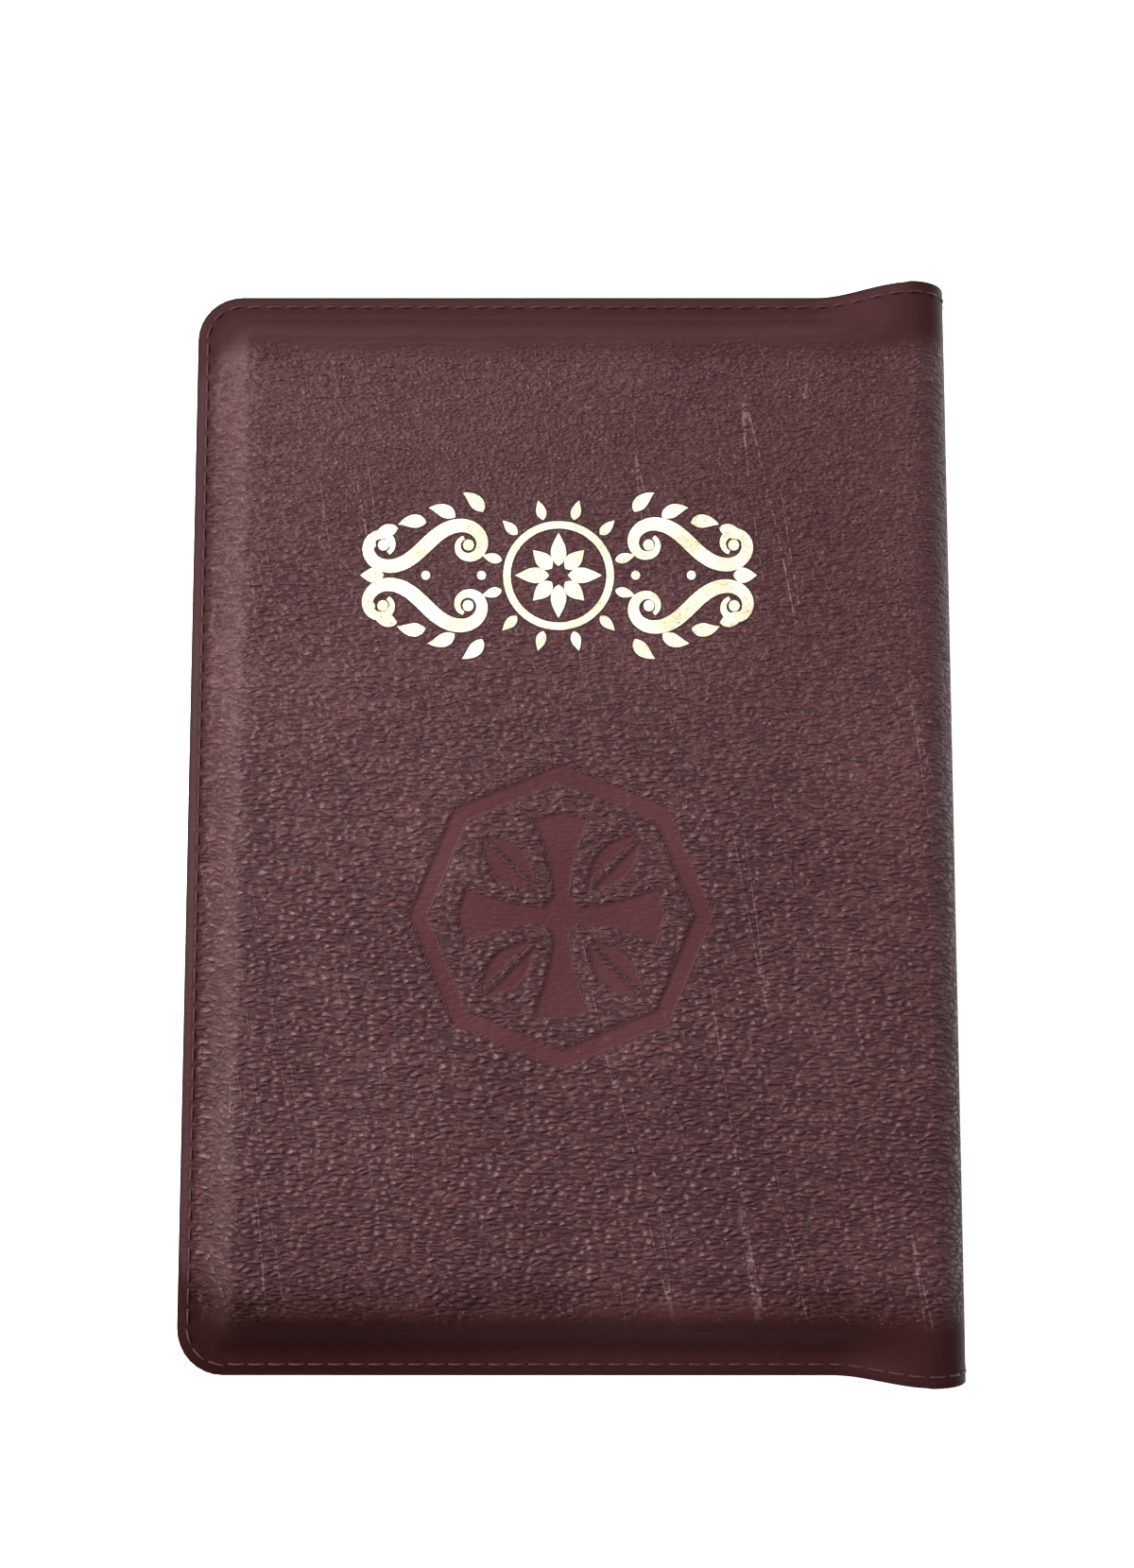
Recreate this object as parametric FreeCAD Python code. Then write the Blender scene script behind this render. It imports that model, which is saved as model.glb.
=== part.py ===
import FreeCAD, Part
import math
import os

V = FreeCAD.Vector

# ---- Overall sizes (mm). X runs to the spine, Y to the head, Z through the thickness.
COVER_WIDTH = 152.0        # fore-edge lip to the face of the spine
COVER_LENGTH = 214.0       # tail lip to head lip
BOOK_THICKNESS = 35.0      # back cover panel to front cover panel

# ---- Leather shell of each cover
LEATHER = 1.2              # thickness of the skin
LIP_WIDTH = 3.6            # flat stitched margin
SLOPE_RUN = 8.4            # from the lip up to the raised panel
LIP_GAP = 22.6             # between the two lips, bridged by the zip tapes
CORNER_RADIUS = 9.0        # fore-edge corners
SHOULDER_RADIUS = 8.0      # where each cover rolls into the spine
FLARE = 1.2                # how far the ends of the spine stand past the lips
FLARE_START = 26.0         # from the spine face to where the lip starts to rise
PIVOT_OFFSET = 0.15        # hinge line outside the spine face

# ---- Card and paper inside each cover
BOARD = 1.0                # card under the raised panel
LINING = 0.3               # paper pasted inside the cover
PANEL_CLEAR = 0.8          # between the board and the inside of the slope

# ---- Text block
PAGE_LENGTH = 186.0        # tail edge to head edge
PAGE_INSET = 14.0          # fore-edge of the pages back from the cover's fore-edge
SECTIONS = 10
SECTION_GAP = 0.04         # air between neighbouring sections
TURNING_LEAVES = 5         # groups of leaves that turn with each cover
REAR_LEAVES = 3            # the same at the back
FLYLEAF = 0.25
LEAF_GAP = 0.06

# ---- Spine, from the leather inward
STIFFENER = 0.6
KRAFT = 0.25
MULL = 0.3
TAPE_COUNT = 3
TAPE_WIDTH = 12.0
TAPE_THICKNESS = 0.3
BAND_RADIUS = 1.3          # head and tail bands

# ---- Stitching and gold
STITCH_INSET = 2.2         # stitch line in from the edge of the lip
THREAD = 0.5
FOIL = 0.1
ORNAMENT_WIDTH = 78.0
ORNAMENT_HEIGHT = 33.0
ORNAMENT_X = -2.6          # centre of the ornament from the middle of the book
ORNAMENT_Y = 48.0
MEDALLION_RADIUS = 30.0    # to the corners of the eight-sided border
MEDALLION_BORDER = 4.0
MEDALLION_DEPTH = 0.4
MEDALLION_X = -2.0
MEDALLION_Y = -19.0
RULE_PLACES = (-64.0, 18.0, 58.0)    # pairs of gold rules up the spine
RULE_SPREAD = 2.0                    # from the middle of a pair to each rule
RULE_WIDTH = 0.8
RULE_MARGIN = 2.0                    # from the rule's ends to the hinge lines

# ---- Zip
TAPE_FLANGE = 3.2          # sewn under the lip
ZIP_TAPE = 0.4
ZIP_INSET = 2.0            # coil's outer side in from the edge of the lip
COIL_WIDTH = 1.4
COIL_HEIGHT = 1.2
ROW_GAP = 1.0              # between the two rows of coil
STOP_LENGTH = 2.5
SLIDER_LENGTH = 9.0
SLIDER_PLATE = 0.5
SLIDER_CLEAR = 0.12
PULL_LENGTH = 18.0
PULL_WIDTH = 5.0
PULL_THICKNESS = 0.9
PULL_EYE_RADIUS = 1.2
PULL_NECK = 6.5            # from the pin to the wide part of the tab
PULL_EYE_HEIGHT = 2.0
PULL_ROUNDING = 1.2
PIN_RADIUS = 0.45
PIN_LENGTH = 3.6
EAR_RADIUS = 0.9
EAR_THICKNESS = 0.6

# ---- Worked out from the sizes above
SPINE_X = COVER_WIDTH / 2
FORE_X = -COVER_WIDTH / 2
HALF_LENGTH = COVER_LENGTH / 2
MID_Z = BOOK_THICKNESS / 2
PIVOT_X = SPINE_X + PIVOT_OFFSET
HINGE_HEIGHT = SHOULDER_RADIUS                       # each hinge line in from its cover's panel
LIP_TOP = MID_Z + LIP_GAP / 2 + LEATHER              # outer face of the front lip
DROP = BOOK_THICKNESS - LIP_TOP
DISH = LIP_WIDTH + SLOPE_RUN
SHOULDER_X = SPINE_X - SHOULDER_RADIUS
PANEL_FORE = FORE_X + DISH
BOARD_TOP = BOOK_THICKNESS - LEATHER
LEAF_TOP = BOARD_TOP - BOARD - LINING - LEAF_GAP
HINGE_Z = BOOK_THICKNESS - HINGE_HEIGHT              # front hinge line
PAGE_HALF = PAGE_LENGTH / 2
PAGE_FORE = FORE_X + PAGE_INSET
STEP = 0.001                                         # for slopes of the sheet


# ---- Small tools
def box(x0, x1, y0, y1, z0, z1):
    return Part.makeBox(x1 - x0, y1 - y0, z1 - z0, V(x0, y0, z0))


def prism(points, direction):
    """Straight-sided solid from a closed outline."""
    return Part.Face(Part.makePolygon(points + points[:1])).extrude(direction)


def mirrored(shape):
    """The same piece on the back cover."""
    return shape.mirror(V(0, 0, MID_Z), V(0, 0, 1))


def joined(shapes):
    result = shapes[0].fuse(list(shapes[1:])).removeSplitter()
    return result.Solids[0] if len(result.Solids) == 1 else result


def save(name, shape):
    shape.exportStep("parts/" + name + ".step")


def smooth(t):
    t = min(1.0, max(0.0, t))
    return t * t * (3 - 2 * t)


# ---- Leather cover: a dished sheet whose lip lifts and flares beside the spine
def spine_lift(x):
    """0 along most of the cover, 1 where the sheet meets the shoulder."""
    return smooth((x - (SPINE_X - FLARE_START)) / (FLARE_START - SHOULDER_RADIUS))


def edge_y(x, inset=0.0):
    """Half length of the cover at x, with round fore-edge corners, less an inset."""
    run = x - FORE_X - inset
    radius = CORNER_RADIUS - inset
    corner = 0.0
    if radius > 0 and run < radius:
        corner = radius - math.sqrt(max(0.0, radius ** 2 - (radius - run) ** 2))
    return HALF_LENGTH - inset + FLARE * spine_lift(x) - corner


def sheet_z(x, inset):
    """Height of the cover's outer face a given way in from the head or tail edge."""
    fore = smooth((x - FORE_X - LIP_WIDTH) / SLOPE_RUN)
    end = smooth((inset - LIP_WIDTH) / SLOPE_RUN)
    end = end + (1 - end) * spine_lift(x)
    return LIP_TOP + DROP * fore * end


def section(x):
    """Closed outline of the sheet across the book at x."""
    steps = [0, LIP_WIDTH] + [LIP_WIDTH + SLOPE_RUN * k / 5 for k in range(1, 6)] + [DISH + 2]
    outer, inner = [], []
    for inset in steps:
        y, z = edge_y(x) - inset, sheet_z(x, inset)
        slope = (sheet_z(x, inset + STEP) - sheet_z(x, inset - STEP)) / (2 * STEP)
        rise = (sheet_z(x + STEP, inset) - sheet_z(x - STEP, inset)) / (2 * STEP)
        skin = LEATHER * math.hypot(1, rise, slope) / (1 + slope ** 2)
        outer.append(V(x, y, z))
        inner.append(V(x, y - skin * slope, max(z - skin, LIP_TOP - LEATHER)))
    ring = outer + [V(p.x, -p.y, p.z) for p in reversed(outer)]
    ring += [V(p.x, -p.y, p.z) for p in inner] + inner[::-1]
    return Part.makePolygon(ring + ring[:1])


def cover_stations():
    """Places along X where the sheet's section is taken."""
    corner = [FORE_X + CORNER_RADIUS * (1 - math.cos(math.radians(a))) for a in range(0, 91, 15)]
    slope = [FORE_X + LIP_WIDTH + SLOPE_RUN * k / 5 for k in range(6)]
    run = SPINE_X - FLARE_START
    lift = [run + (SHOULDER_X - run) * k / 6 for k in range(7)]
    stations = []
    for x in sorted(corner + slope + lift):
        if not stations or x - stations[-1] > 0.25:
            stations.append(x)
    return stations


def shoulder():
    """Quarter-round roll of leather from the panel down to the hinge line."""
    half = edge_y(SHOULDER_X)
    base = V(SHOULDER_X, -half, HINGE_Z)
    outer = Part.makeCylinder(SHOULDER_RADIUS, 2 * half, base, V(0, 1, 0))
    inner = Part.makeCylinder(SHOULDER_RADIUS - LEATHER, 2 * half, base, V(0, 1, 0))
    corner = box(SHOULDER_X, SPINE_X, -half, half, HINGE_Z, BOOK_THICKNESS)
    return outer.cut(inner).common(corner)


def medallion_groove():
    """Blind-pressed eight-sided border, as the solid that the press takes away."""
    def octagon(radius):
        ring = [V(MEDALLION_X + radius * math.cos(math.radians(45 * k)),
                  MEDALLION_Y + radius * math.sin(math.radians(45 * k)),
                  BOOK_THICKNESS - MEDALLION_DEPTH) for k in range(8)]
        return prism(ring, V(0, 0, 2 * MEDALLION_DEPTH))
    return octagon(MEDALLION_RADIUS).cut(octagon(MEDALLION_RADIUS - MEDALLION_BORDER))


def cover_leather():
    sheet = Part.makeLoft([section(x) for x in cover_stations()], True, True)
    return sheet.fuse(shoulder())


# ---- Outlines that follow the edge of the cover
def lip_outline(inset, x_end, z):
    """Face inside the cover's edge, open to the spine at x_end."""
    r = max(0.1, CORNER_RADIUS - inset)
    x, y = FORE_X + inset, HALF_LENGTH - inset
    mid = r * math.sqrt(0.5)
    edges = [
        Part.makeLine(V(x_end, y, z), V(x + r, y, z)),
        Part.Arc(V(x + r, y, z), V(x + r - mid, y - r + mid, z), V(x, y - r, z)).toShape(),
        Part.makeLine(V(x, y - r, z), V(x, r - y, z)),
        Part.Arc(V(x, r - y, z), V(x + r - mid, r - y - mid, z), V(x + r, -y, z)).toShape(),
        Part.makeLine(V(x + r, -y, z), V(x_end, -y, z)),
        Part.makeLine(V(x_end, -y, z), V(x_end, y, z)),
    ]
    return Part.Face(Part.Wire(edges))


def band(inset_0, inset_1, z_0, z_1, x_end):
    """Strip along head, fore-edge and tail between two insets."""
    up = V(0, 0, z_1 - z_0)
    return lip_outline(inset_0, x_end, z_0).extrude(up).cut(
        lip_outline(inset_1, x_end + 1, z_0).extrude(up))


# ---- Front cover (the back cover is its mirror)
def board(z_0, z_1, margin):
    inset = DISH + margin
    x_end = SHOULDER_X - margin
    return lip_outline(inset, x_end, z_0).extrude(V(0, 0, z_1 - z_0))


def stitching():
    """Thread line on the lip, climbing with the sheet beside the spine."""
    half = THREAD / 2
    start = SPINE_X - FLARE_START
    strips = [band(STITCH_INSET - half, STITCH_INSET + half, LIP_TOP, LIP_TOP + half, start)]
    for side in (1, -1):
        wires = []
        for k in range(7):
            x = start + (SHOULDER_X - start) * k / 6
            y, z = side * (edge_y(x) - STITCH_INSET), sheet_z(x, STITCH_INSET)
            ring = [V(x, y - half, z), V(x, y + half, z), V(x, y + half, z + half), V(x, y - half, z + half)]
            wires.append(Part.makePolygon(ring + ring[:1]))
        strips.append(Part.makeLoft(wires, True, True))
    return joined(strips)


def ornament():
    """Gold-stamped scrollwork: a rosette between chains of rings and lozenges."""
    def ring(x, radius, width):
        base = V(ORNAMENT_X + x, ORNAMENT_Y, BOOK_THICKNESS)
        return Part.makeCylinder(radius, FOIL, base).cut(Part.makeCylinder(radius - width, FOIL, base))

    def lozenge(x, y, long_half, short_half, turn):
        c, s = math.cos(math.radians(turn)), math.sin(math.radians(turn))
        corners = [(long_half, 0), (0, short_half), (-long_half, 0), (0, -short_half)]
        pts = [V(ORNAMENT_X + x + a * c - b * s, ORNAMENT_Y + y + a * s + b * c, BOOK_THICKNESS)
               for a, b in corners]
        return prism(pts, V(0, 0, FOIL))

    rosette = ORNAMENT_HEIGHT / 2
    shapes = [ring(0, rosette * 0.55, 1.2)]
    for k in range(8):
        a = math.radians(45 * k)
        reach = rosette * 0.68
        shapes.append(lozenge(reach * math.cos(a), reach * math.sin(a), rosette * 0.32, 1.8, 45 * k))
    tip = 1.8
    link = (ORNAMENT_WIDTH / 2 - rosette - 2 * tip + 0.4) / 3.6
    for side in (1, -1):
        for k in (0.9, 2.6):
            shapes.append(ring(side * (rosette + link * k), link, 1.0))
        shapes.append(lozenge(side * (ORNAMENT_WIDTH / 2 - tip), 0, tip, 2.6, 0))
    return joined(shapes)


# ---- Zip: an L of tape under each lip, with the coil on its free edge
ZIP_END = SPINE_X - FLARE_START - 2
COIL_Z = MID_Z + ROW_GAP / 2
TAPE_INSET = ZIP_INSET + (COIL_WIDTH - ZIP_TAPE) / 2


def zip_tape():
    lip_inner = LIP_TOP - LEATHER
    upright = band(TAPE_INSET, TAPE_INSET + ZIP_TAPE, COIL_Z + COIL_HEIGHT, lip_inner, ZIP_END)
    flange = band(TAPE_INSET, TAPE_INSET + TAPE_FLANGE, lip_inner - ZIP_TAPE, lip_inner, ZIP_END)
    return joined([upright, flange])


def zip_coil():
    end = ZIP_END - STOP_LENGTH
    return band(ZIP_INSET, ZIP_INSET + COIL_WIDTH, COIL_Z, COIL_Z + COIL_HEIGHT, end)


def zip_stops():
    stops = []
    for side in (1, -1):
        edge = HALF_LENGTH - ZIP_INSET
        near, far = sorted((side * edge, side * (edge - COIL_WIDTH)))
        stops.append(box(ZIP_END - STOP_LENGTH, ZIP_END, near, far, COIL_Z, COIL_Z + COIL_HEIGHT))
    return Part.makeCompound(stops)


# ---- Slider on the lower row, and its pull
SLIDER_X = ZIP_END - STOP_LENGTH - SLIDER_LENGTH / 2 - 0.5
PLATE_OUT = ZIP_INSET - SLIDER_CLEAR                 # inner face of the outer plate
PLATE_IN = ZIP_INSET + COIL_WIDTH + SLIDER_CLEAR     # outer face of the inner plate
ROW_LOW = BOOK_THICKNESS - COIL_Z - COIL_HEIGHT      # underside of the back cover's coil
SLIDER_LOW = ROW_LOW - 0.75
SLIDER_HIGH = COIL_Z + COIL_HEIGHT + 0.1
PIN_Y = -HALF_LENGTH + PLATE_OUT - SLIDER_PLATE - PULL_EYE_RADIUS - SLIDER_CLEAR


def across(inset_0, inset_1):
    """Y range at the tail between two insets."""
    return -HALF_LENGTH + inset_0, -HALF_LENGTH + inset_1


def zip_slider():
    x0, x1 = SLIDER_X - SLIDER_LENGTH / 2, SLIDER_X + SLIDER_LENGTH / 2
    outer = box(x0, x1, *across(PLATE_OUT - SLIDER_PLATE, PLATE_OUT), SLIDER_LOW, SLIDER_HIGH)
    inner = box(x0, x1, *across(PLATE_IN, PLATE_IN + SLIDER_PLATE), SLIDER_LOW, SLIDER_HIGH)
    post = box(SLIDER_X - 1.5, SLIDER_X + 1.5, *across(PLATE_OUT, PLATE_IN),
               MID_Z - ROW_GAP / 2 + SLIDER_CLEAR, MID_Z + ROW_GAP / 2 - SLIDER_CLEAR)
    lip_out = box(x0, x1, *across(PLATE_OUT, TAPE_INSET - SLIDER_CLEAR), SLIDER_LOW, ROW_LOW - SLIDER_CLEAR)
    lip_in = box(x0, x1, *across(TAPE_INSET + ZIP_TAPE + SLIDER_CLEAR, PLATE_IN),
                 SLIDER_LOW, ROW_LOW - SLIDER_CLEAR)
    return joined([outer, inner, post, lip_out, lip_in])


def zip_crown():
    """Two ears on the outer plate with a pin between them."""
    face = -HALF_LENGTH + PLATE_OUT - SLIDER_PLATE
    low = MID_Z - PIN_LENGTH / 2
    parts = [Part.makeCylinder(PIN_RADIUS, PIN_LENGTH, V(SLIDER_X, PIN_Y, low))]
    for z in (low, low + PIN_LENGTH - EAR_THICKNESS):
        parts.append(Part.makeCylinder(EAR_RADIUS, EAR_THICKNESS, V(SLIDER_X, PIN_Y, z)))
        parts.append(box(SLIDER_X - EAR_RADIUS, SLIDER_X + EAR_RADIUS, PIN_Y, face, z, z + EAR_THICKNESS))
    return joined(parts)


def zip_pull():
    """Flat tab that turns on the crown's pin, lying along the zip at rest."""
    half, eye_z, tab_z = PULL_THICKNESS / 2, PULL_EYE_HEIGHT / 2, PULL_WIDTH / 2
    sides = (PIN_Y - half, PIN_Y + half)
    eye = Part.makeCylinder(PULL_EYE_RADIUS, PULL_EYE_HEIGHT, V(SLIDER_X, PIN_Y, MID_Z - eye_z))
    neck = box(SLIDER_X - PULL_NECK, SLIDER_X, *sides, MID_Z - eye_z, MID_Z + eye_z)
    tab = box(SLIDER_X - PULL_LENGTH, SLIDER_X - PULL_NECK + 1, *sides, MID_Z - tab_z, MID_Z + tab_z)
    tab = tab.makeFillet(PULL_ROUNDING, [e for e in tab.Edges if abs(e.tangentAt(e.FirstParameter).y) > 0.9])
    hole = Part.makeCylinder(PIN_RADIUS + SLIDER_CLEAR, PIN_LENGTH,
                             V(SLIDER_X, PIN_Y, MID_Z - PIN_LENGTH / 2))
    return joined([eye, neck, tab]).cut(hole)


# ---- Leaves that turn with a cover, shorter toward the roll of the shoulder
def leaf_stack(count):
    room = LEAF_TOP - HINGE_Z - LEAF_GAP
    thick = (room - FLYLEAF - (count + 1) * LEAF_GAP) / count
    stack, z = [], HINGE_Z + LEAF_GAP
    for size in [thick] * count + [FLYLEAF]:
        reach = SHOULDER_RADIUS - LEATHER - 0.4
        right = SHOULDER_X + math.sqrt(reach ** 2 - (z + size - HINGE_Z) ** 2)
        stack.append(box(PAGE_FORE, right, -PAGE_HALF, PAGE_HALF, z, z + size))
        z += size + LEAF_GAP
    return stack


# ---- Spine and text block
LEATHER_IN = SPINE_X - LEATHER
STIFFENER_IN = LEATHER_IN - STIFFENER
KRAFT_IN = STIFFENER_IN - KRAFT
MULL_IN = KRAFT_IN - MULL
FOLD_X = MULL_IN - TAPE_THICKNESS
WALL_LOW = BOOK_THICKNESS - HINGE_Z
SPINE_HALF = HALF_LENGTH + FLARE


def wall(x_0, x_1, half):
    return box(x_0, x_1, -half, half, WALL_LOW, HINGE_Z)


def text_section(index):
    """Folded gathering with a round back."""
    pitch = (HINGE_Z - WALL_LOW) / SECTIONS
    thick = pitch - SECTION_GAP
    z = WALL_LOW + index * pitch + SECTION_GAP / 2
    radius = thick / 2
    flat = box(PAGE_FORE, FOLD_X - radius, -PAGE_HALF, PAGE_HALF, z, z + thick)
    fold = Part.makeCylinder(radius, PAGE_LENGTH, V(FOLD_X - radius, -PAGE_HALF, z + radius), V(0, 1, 0))
    return joined([flat, fold])


def sewing_tapes():
    step = PAGE_LENGTH / (TAPE_COUNT + 1)
    places = [-PAGE_HALF + step * (k + 1) for k in range(TAPE_COUNT)]
    return Part.makeCompound([box(FOLD_X, MULL_IN, y - TAPE_WIDTH / 2, y + TAPE_WIDTH / 2,
                                  WALL_LOW, HINGE_Z) for y in places])


def sewing_thread():
    """Kettle stitches near head and tail and one line each side of every tape."""
    step = PAGE_LENGTH / (TAPE_COUNT + 1)
    places = [-PAGE_HALF + 10, PAGE_HALF - 10]
    for k in range(TAPE_COUNT):
        middle = -PAGE_HALF + step * (k + 1)
        places += [middle - TAPE_WIDTH / 2 - 1, middle + TAPE_WIDTH / 2 + 1]
    radius = TAPE_THICKNESS / 2
    return Part.makeCompound([Part.makeCylinder(radius, HINGE_Z - WALL_LOW - 1,
                                                V(FOLD_X + radius, y, WALL_LOW + 0.5)) for y in places])


def end_band(side):
    y = side * (PAGE_HALF + BAND_RADIUS)
    return Part.makeCylinder(BAND_RADIUS, HINGE_Z - WALL_LOW - 0.6,
                             V(MULL_IN - BAND_RADIUS, y, WALL_LOW + 0.3))


def spine_rules():
    """Gold rules stamped across the spine."""
    strips, half = [], RULE_WIDTH / 2
    for y in [place + side * RULE_SPREAD for place in RULE_PLACES for side in (-1, 1)]:
        strips.append(box(SPINE_X, SPINE_X + FOIL, y - half, y + half,
                          WALL_LOW + RULE_MARGIN, HINGE_Z - RULE_MARGIN))
    return Part.makeCompound(strips)


def spine_stitching():
    strips = []
    for side in (1, -1):
        y = side * (SPINE_HALF - STITCH_INSET)
        strips.append(box(SPINE_X, SPINE_X + THREAD / 2, y - THREAD / 2, y + THREAD / 2,
                          WALL_LOW + 0.5, HINGE_Z - 0.5))
    return Part.makeCompound(strips)


# ---- Write every piece
os.makedirs("parts", exist_ok=True)

leather = cover_leather()
save("front_leather", leather.cut(medallion_groove()))
save("back_leather", mirrored(leather))
save("front_gold_ornament", ornament())

PAIRS = {
    "board": board(BOARD_TOP - BOARD, BOARD_TOP, PANEL_CLEAR),
    "pastedown": board(BOARD_TOP - BOARD - LINING, BOARD_TOP - BOARD, PANEL_CLEAR + 0.5),
    "stitching": stitching(),
    "zip_tape": zip_tape(),
    "zip_coil": zip_coil(),
    "zip_stops": zip_stops(),
}
for name, shape in PAIRS.items():
    save("front_" + name, shape)
    save("back_" + name, mirrored(shape))

save("zip_slider", zip_slider())
save("zip_crown", zip_crown())
save("zip_pull", zip_pull())

for side, count in (("front", TURNING_LEAVES), ("rear", REAR_LEAVES)):
    stack = leaf_stack(count)
    for i, leaf in enumerate(stack):
        name = "flyleaf" if i == count else "leaves_%d" % (i + 1)
        save(side + "_" + name, leaf if side == "front" else mirrored(leaf))

for i in range(SECTIONS):
    save("section_%02d" % (i + 1), text_section(i))
save("sewing_tapes", sewing_tapes())
save("sewing_thread", sewing_thread())
save("spine_mull", wall(MULL_IN, KRAFT_IN, PAGE_HALF + 2 * BAND_RADIUS))
save("spine_kraft", wall(KRAFT_IN, STIFFENER_IN, PAGE_HALF))
save("spine_stiffener", wall(STIFFENER_IN, LEATHER_IN, HALF_LENGTH - LIP_WIDTH))
save("spine_leather", wall(LEATHER_IN, SPINE_X, SPINE_HALF))
save("head_band", end_band(1))
save("tail_band", end_band(-1))
save("spine_gold_rules", spine_rules())
save("spine_stitching", spine_stitching())
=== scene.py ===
import bmesh, bpy, math
import numpy as np
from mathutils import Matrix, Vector, noise


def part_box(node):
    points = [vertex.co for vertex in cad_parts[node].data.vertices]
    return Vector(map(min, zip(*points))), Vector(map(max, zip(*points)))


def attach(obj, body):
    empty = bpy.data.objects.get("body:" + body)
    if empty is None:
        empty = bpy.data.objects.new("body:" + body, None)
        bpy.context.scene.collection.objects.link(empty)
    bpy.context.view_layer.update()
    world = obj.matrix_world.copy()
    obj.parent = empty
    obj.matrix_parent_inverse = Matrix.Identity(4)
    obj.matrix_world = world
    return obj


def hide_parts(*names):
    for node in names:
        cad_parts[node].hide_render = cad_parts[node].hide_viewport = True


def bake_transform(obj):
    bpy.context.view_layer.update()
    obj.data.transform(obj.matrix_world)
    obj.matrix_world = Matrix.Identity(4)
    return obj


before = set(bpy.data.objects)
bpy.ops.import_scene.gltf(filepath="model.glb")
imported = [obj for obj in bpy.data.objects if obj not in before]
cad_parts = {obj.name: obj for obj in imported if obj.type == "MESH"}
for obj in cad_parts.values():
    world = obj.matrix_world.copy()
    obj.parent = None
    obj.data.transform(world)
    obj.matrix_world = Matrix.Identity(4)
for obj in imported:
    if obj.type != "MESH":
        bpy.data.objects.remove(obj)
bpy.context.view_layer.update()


# ---------------------------------------------------------------- Table top
# A plain pale surface, lit softly from within and wide enough to run out of
# sight on every side. The book lies flat on it on its back cover.
def in_scene(name, data):
    """A new object in the scene, made of the given mesh, light or camera."""
    made = bpy.data.objects.new(name, data)
    bpy.context.scene.collection.objects.link(made)
    return made


table_half, table_level = 6.0, -0.0004
table_mesh = bpy.data.meshes.new("table_top")
table_mesh.from_pydata([(x * table_half, y * table_half, table_level)
                        for x, y in ((-1, -1), (1, -1), (1, 1), (-1, 1))], [], [(0, 1, 2, 3)])
table_top = in_scene("table_top", table_mesh)
table_paint = bpy.data.materials.new("pale_table")
table_paint.use_nodes = True
for label, value in (("Base Color", (0.97, 0.97, 0.965, 1)), ("Roughness", 0.9),
                     ("Emission Color", (1, 1, 1, 1)), ("Emission Strength", 0.5)):
    table_paint.node_tree.nodes["Principled BSDF"].inputs[label].default_value = value
table_mesh.materials.append(table_paint)


# ---------------------------------------------------------------- Camera
# Held nearly straight above the book, a little toward its tail.
camera_tilt = math.radians(5.2)
camera_reach = 0.320
aim = Vector((0.0, 0.0, 0.028))
lens_angle = math.radians(51.95)
camera_data = bpy.data.cameras.new("camera")
camera_data.sensor_fit = "VERTICAL"
camera_data.angle = lens_angle
camera_data.shift_y = 0.0235
camera_data.shift_x = -0.003
camera_data.clip_start = 0.01
camera = in_scene("camera", camera_data)
camera.location = aim + camera_reach * Vector((0, -math.sin(camera_tilt), math.cos(camera_tilt)))
camera.rotation_euler = (camera_tilt, 0, 0)
bpy.context.scene.camera = camera


# ---------------------------------------------------------------- Light
# Two long soft boxes beside the book catch its raised edges, a broad one
# stands overhead toward the head, and a pale sky fills the rest.
def soft_box(name, place, size, power):
    data = bpy.data.lights.new(name, "AREA")
    data.shape, data.size, data.size_y, data.energy = "RECTANGLE", size[0], size[1], power
    lamp = in_scene(name, data)
    lamp.location = place
    lamp.rotation_euler = (aim - Vector(place)).to_track_quat("-Z", "Y").to_euler()


soft_box("left_box", (-0.78, 0.10, 0.58), (0.6, 0.8), 26.0)
soft_box("right_box", (0.85, 0.10, 0.40), (0.4, 0.8), 1.8)
soft_box("head_box", (-0.15, 1.20, 1.00), (1.3, 0.5), 21.0)
sky = bpy.data.worlds.new("sky")
sky.use_nodes = True
sky_links, sky_back = sky.node_tree.links, sky.node_tree.nodes["Background"]
sky_place, sky_parts, sky_fall, sky_eye, sky_mix = (
    sky.node_tree.nodes.new("ShaderNode" + kind)
    for kind in ("TexCoord", "SeparateXYZ", "MapRange", "LightPath", "Mix"))
sky_mix.inputs[3].default_value = 1.0
for socket, value in zip(list(sky_fall.inputs)[1:5], (-0.8, 0.8, 0.28, 0.56)):
    socket.default_value = value
sky_links.new(sky_place.outputs["Generated"], sky_parts.inputs[0])
sky_links.new(sky_parts.outputs["Y"], sky_fall.inputs[0])
sky_links.new(sky_fall.outputs[0], sky_mix.inputs[2])
sky_links.new(sky_eye.outputs["Is Camera Ray"], sky_mix.inputs[0])
sky_links.new(sky_mix.outputs[0], sky_back.inputs["Strength"])
sky_back.inputs["Color"].default_value = (1, 1, 1, 1)
bpy.context.scene.world = sky
bpy.context.scene.view_settings.view_transform = "Standard"


# ---------------------------------------------------------------- Cover leather
# Each cover is one piece of limp burgundy leather, pressed into a shallow dish
# over the pages. Its flat lip runs round head, fore-edge and tail, and beside
# the spine the lip lifts and flares before the sheet rolls over the shoulder.
leather_low, leather_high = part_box("front_leather")
spine_low, spine_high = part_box("spine_leather")
fore_x, spine_x = leather_low[0], leather_high[0]
panel_z, hinge_z = leather_high[2], spine_high[2]
middle_z = panel_z / 2
lip_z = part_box("front_stitching")[0][2]
skin = spine_high[0] - spine_low[0]
shoulder = panel_z - hinge_z
shoulder_x = spine_x - shoulder
flare = 0.0012
half_length = leather_high[1] - flare
lip_width, slope_run = 0.0036, 0.0084
dish = lip_width + slope_run
flare_start = spine_x - 0.026
corner = 0.009
medallion_centre = (-0.002, -0.019)
medallion_radius = 0.030
medallion_border = 0.0042
press_depth, crease = 0.00050, 0.0005
grid_step, row_step, end_margin = 0.0013, 0.0018, 0.002
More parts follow.
